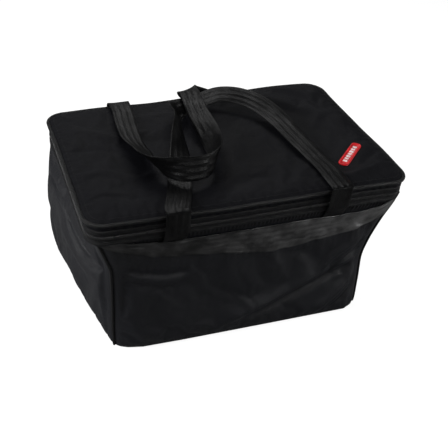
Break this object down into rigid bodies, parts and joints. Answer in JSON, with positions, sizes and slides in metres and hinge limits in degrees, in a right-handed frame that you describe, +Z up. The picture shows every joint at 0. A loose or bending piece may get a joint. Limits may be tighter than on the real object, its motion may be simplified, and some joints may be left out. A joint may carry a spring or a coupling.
{
  "type": "insulated food carrier",
  "caption": "Soft-sided insulated food carrier with a zip lid hinged at the rear and webbing carrying handles.",
  "frame": {"origin": "centre of the underside of the base, on the floor", "axes": "+Z up, -Y out of the front wall, +X to the right when facing the front"},
  "size_m": [0.574, 0.3832, 0.3484],
  "materials": {
    "body_fabric": "plain weave polyester, satin",
    "lid_fabric": "plain weave polyester, satin",
    "webbing": "ribbed webbing with a soft sheen",
    "piping": "woven piping",
    "binding": "woven binding tape",
    "foam": "closed cell foam",
    "liner": "metallised film on fabric",
    "board": "fine grain",
    "zip_tape": "woven tape",
    "zip_coil": "nylon coil",
    "zip_metal": "black painted zinc",
    "label": "soft moulded plastic"
  },
  "bodies": {
    "bag": {"base_panel": "body_fabric", "front_panel": "body_fabric", "rear_panel": "body_fabric", "left_panel": "body_fabric", "right_panel": "body_fabric", "gusset_strip": "body_fabric", "front_web_band": "webbing", "rear_web_band": "webbing", "corner_piping_front_left": "piping", "corner_piping_front_right": "piping", "corner_piping_rear_left": "piping", "corner_piping_rear_right": "piping", "front_foam": "foam", "rear_foam": "foam", "left_foam": "foam", "right_foam": "foam", "base_foam": "foam", "base_board": "board", "body_liner": "liner", "rim_binding": "binding", "zip_tape_lower": "zip_tape", "zip_coil_lower": "zip_coil", "zip_end_stops": "zip_metal", "hinge_strip": "body_fabric", "front_handle_tabs": "webbing", "rear_handle_tabs": "webbing"},
    "lid": {"lid_panel": "lid_fabric", "lid_side_band": "lid_fabric", "lid_piping": "piping", "lid_foam": "foam", "lid_liner": "liner", "lid_binding": "binding", "zip_tape_upper": "zip_tape", "zip_coil_upper": "zip_coil", "label_tag": "label", "rear_handle_risers": "webbing"},
    "front_handle": {"front_handle_folds": "webbing", "front_handle_loop": "webbing"},
    "rear_handle": {"rear_handle_loop": "webbing"},
    "zip_slider": {"zip_slider": "zip_metal"},
    "zip_pull": {"zip_pull": "zip_metal"}
  },
  "joints": [
    {"name": "lid_hinge", "type": "hinge", "parent": "bag", "child": "lid", "pos_m": [0, 0.1845, 0.267], "axis": [-1, 0, 0], "range_deg": [0, 115], "deforming": ["hinge_strip", "rear_handle_risers", "rear_handle_tabs"]},
    {"name": "front_handle_swing", "type": "hinge", "parent": "bag", "child": "front_handle", "pos_m": [0, -0.1908, 0.302], "axis": [1, 0, 0], "range_deg": [0, 235], "deforming": ["front_handle_loop", "front_handle_folds", "front_handle_tabs"]},
    {"name": "rear_handle_swing", "type": "hinge", "parent": "lid", "child": "rear_handle", "pos_m": [0, 0.1908, 0.302], "axis": [-1, 0, 0], "range_deg": [0, 110], "deforming": ["rear_handle_loop"]},
    {"name": "zip_slide", "type": "slide", "parent": "bag", "child": "zip_slider", "axis": [0, -1, 0], "range_m": [0, 0.268]},
    {"name": "zip_pull_swing", "type": "hinge", "parent": "zip_slider", "child": "zip_pull", "pos_m": [0.2854, 0.128, 0.267], "axis": [0, 0, 1], "range_deg": [0, 170]}
  ]
}
